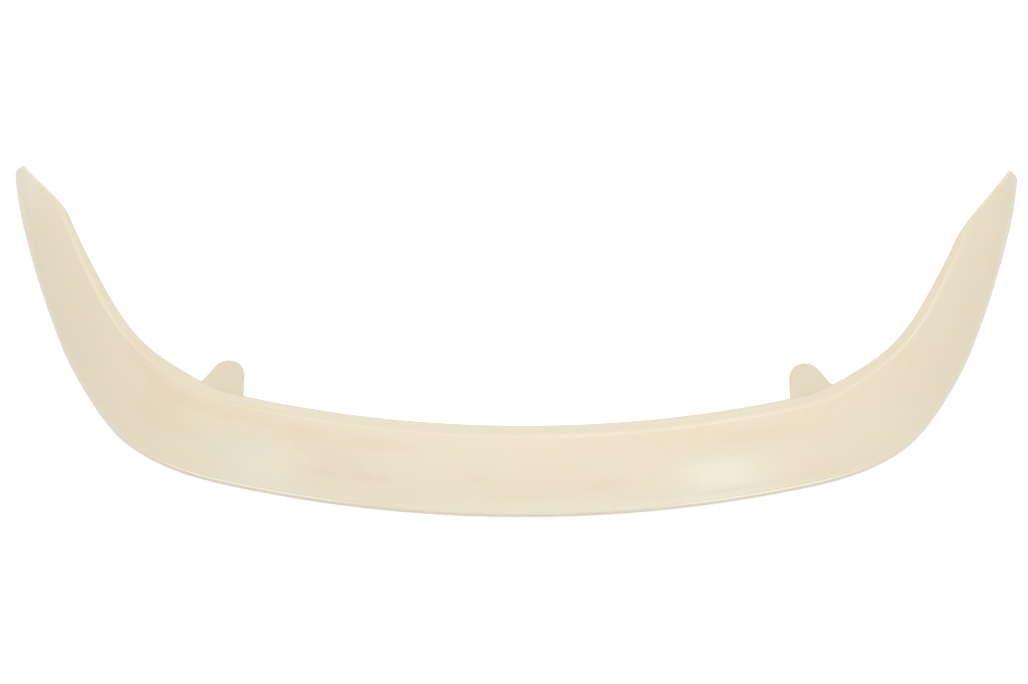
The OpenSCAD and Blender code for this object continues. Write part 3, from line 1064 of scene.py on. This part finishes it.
# On the shell: a painted highlight along the nose edge, painted shade on the wings' flange, a
# painted reflection on the front flange, a painted reflection of the white room along the wings'
# outer edge, and painted shade and a painted highlight in the crease
SHELL_MASKS = [
    ("nose_edge", 0.15, IVORY_PALE), ("flange", 0.22, WING_FLANGE_SHADE), ("sheen", 0.60, SHEEN),
    ("rim", 0.60, RIM_REFLECTION), ("crease_shade", 0.30, IVORY_BROWN), ("crease_glint", 0.45, GLINT),
]
# Painted shade at the tabs' roots and along their edges
TAB_MASKS = [("root", 0.10, ROOT_SHADE), ("edge", 0.35, ROOT_SHADE)]
outside_finish = moulding(
    "Ivory outside", IVORY, rough=0.38, coat=0.16, peel_strength=0.35,
    masks=SHELL_MASKS, patches=PATCHES, lines=LINES, marks=MARKS,
)
tab_finish = moulding(
    "Shaded ivory tab", TAB_SHADED_IVORY, rough=0.45, coat=0.0, peel_strength=0.45,
    masks=TAB_MASKS, patches=[], lines=[], marks=[],
)
for piece, finish in ((lip, outside_finish), (tab_left, tab_finish), (tab_right, tab_finish)):
    piece.data.materials.append(finish)
print("materials:", [material.name for material in (outside_finish, tab_finish)])

# %% [markdown]
# ## Tell the frame what stands for what
#
# The fine shell and the tabs take the place of the one solid in the solid model.

# %% Ride and replace
for piece in (lip, tab_left, tab_right):
    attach(piece, "root")
    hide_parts("bumper_lip")

# %% [markdown]
# ## Floor, light and camera
#
# The lip lies on a plain pale floor. Two softboxes stand at the sides of the front, a wide panel
# hangs above and a small one near the middle, and the room gives the rest. The floor shows white
# to the camera and in reflections, with a soft shadow left in it.


# %% Floor
FLOOR_HALF, FLOOR_DROP = 12.0, 0.5 * MM
FLOOR_GREY, FLOOR_GLOW = 0.72, 0.55


def make_floor():
    """A big square under the lip. To the camera and in reflections it adds some white."""
    mesh = bpy.data.meshes.new("floor")
    half = FLOOR_HALF
    corners = [(-half, -half, 0), (half, -half, 0), (half, half, 0), (-half, half, 0)]
    mesh.from_pydata(corners, [], [(0, 1, 2, 3)])
    floor = as_object("floor", mesh)
    mat = bpy.data.materials.new("Pale floor")
    mat.use_nodes = True
    n, k = mat.node_tree.nodes, mat.node_tree.links
    n.clear()
    out = n.new("ShaderNodeOutputMaterial")
    paint = n.new("ShaderNodeBsdfDiffuse")
    paint.inputs["Color"].default_value = (FLOOR_GREY, FLOOR_GREY, FLOOR_GREY, 1)
    glow = n.new("ShaderNodeEmission")
    glow.inputs["Strength"].default_value = FLOOR_GLOW
    both = n.new("ShaderNodeAddShader")
    k.new(paint.outputs[0], both.inputs[0])
    k.new(glow.outputs[0], both.inputs[1])
    path = n.new("ShaderNodeLightPath")
    seen = path.outputs["Is Camera Ray"]
    for ray in ("Is Glossy Ray", "Is Transmission Ray"):
        seen = maths(n, k, "MAXIMUM", seen, path.outputs[ray])
    pick = n.new("ShaderNodeMixShader")
    k.new(seen, pick.inputs[0])
    k.new(paint.outputs[0], pick.inputs[1])
    k.new(both.outputs[0], pick.inputs[2])
    k.new(pick.outputs[0], out.inputs["Surface"])
    mesh.materials.append(mat)
    floor.location.z = -FLOOR_DROP


make_floor()


# %% Lights
# Name, place, the point it looks at, width and height in metres, and power in watts
LAMPS = [
    ("softbox_right", (1.02, -1.89, 1.93), (0.31, -0.25, 0.04), (0.32, 0.60), 4.5),
    ("softbox_left", (-1.14, -1.78, 2.02), (-0.38, -0.24, 0.04), (0.32, 0.60), 2.8),
    ("overhead", (0, 1.23, 2.74), (0, 0, 0), (2.6, 1.2), 16.5),
    ("near_top", (0.12, -0.30, 1.50), (0.05, -0.25, 0), (0.9, 0.45), 2.2),
]
ROOM_LIGHT = 0.770


def softbox(name, place_at, looks_at, size, power):
    """An area light that looks from one point at another."""
    data = bpy.data.lights.new(name, "AREA")
    data.shape, data.size, data.size_y, data.energy = "RECTANGLE", size[0], size[1], power
    lamp = as_object(name, data)
    lamp.location = place_at
    towards = Vector(place_at) - Vector(looks_at)
    lamp.rotation_euler = towards.to_track_quat("Z", "Y").to_euler()


for lamp_row in LAMPS:
    softbox(*lamp_row)
world = bpy.data.worlds.new("white room")
bpy.context.scene.world = world
world.use_nodes = True
background = world.node_tree.nodes["Background"]
background.inputs["Color"].default_value = (1, 1, 1, 1)
background.inputs["Strength"].default_value = ROOM_LIGHT
bpy.context.scene.view_settings.view_transform = "Standard"
print("lamps:", [row[0] for row in LAMPS])

# %% Camera
AZIMUTH, ELEVATION, DISTANCE, ROLL = -1.10, 61.0, 4.0, 1.226
LENS, SENSOR, CLIP_END = 90.18, 36.0, 60
AIM = Vector((-0.00557, -0.0240, 0.035))


def make_camera():
    """Look at the aim point from in front and above, turned a little about the line of sight."""
    data = bpy.data.cameras.new("camera")
    data.lens, data.sensor_width = LENS, SENSOR
    data.clip_end = CLIP_END
    camera = as_object("camera", data)
    a, e = math.radians(AZIMUTH), math.radians(ELEVATION)
    back = Vector((math.sin(a) * math.cos(e), -math.cos(a) * math.cos(e), math.sin(e)))
    right = Vector((math.cos(a), math.sin(a), 0))
    up = back.cross(right)
    turn = Matrix((right, up, back)).transposed()
    roll = Matrix.Rotation(math.radians(ROLL), 3, "Z")
    camera.matrix_world = Matrix.Translation(AIM + back * DISTANCE) @ (turn @ roll).to_4x4()
    bpy.context.scene.camera = camera


make_camera()
print("camera", DISTANCE, "m away,", ELEVATION, "degrees above the horizon")

# %% Finish
bpy.context.view_layer.update()
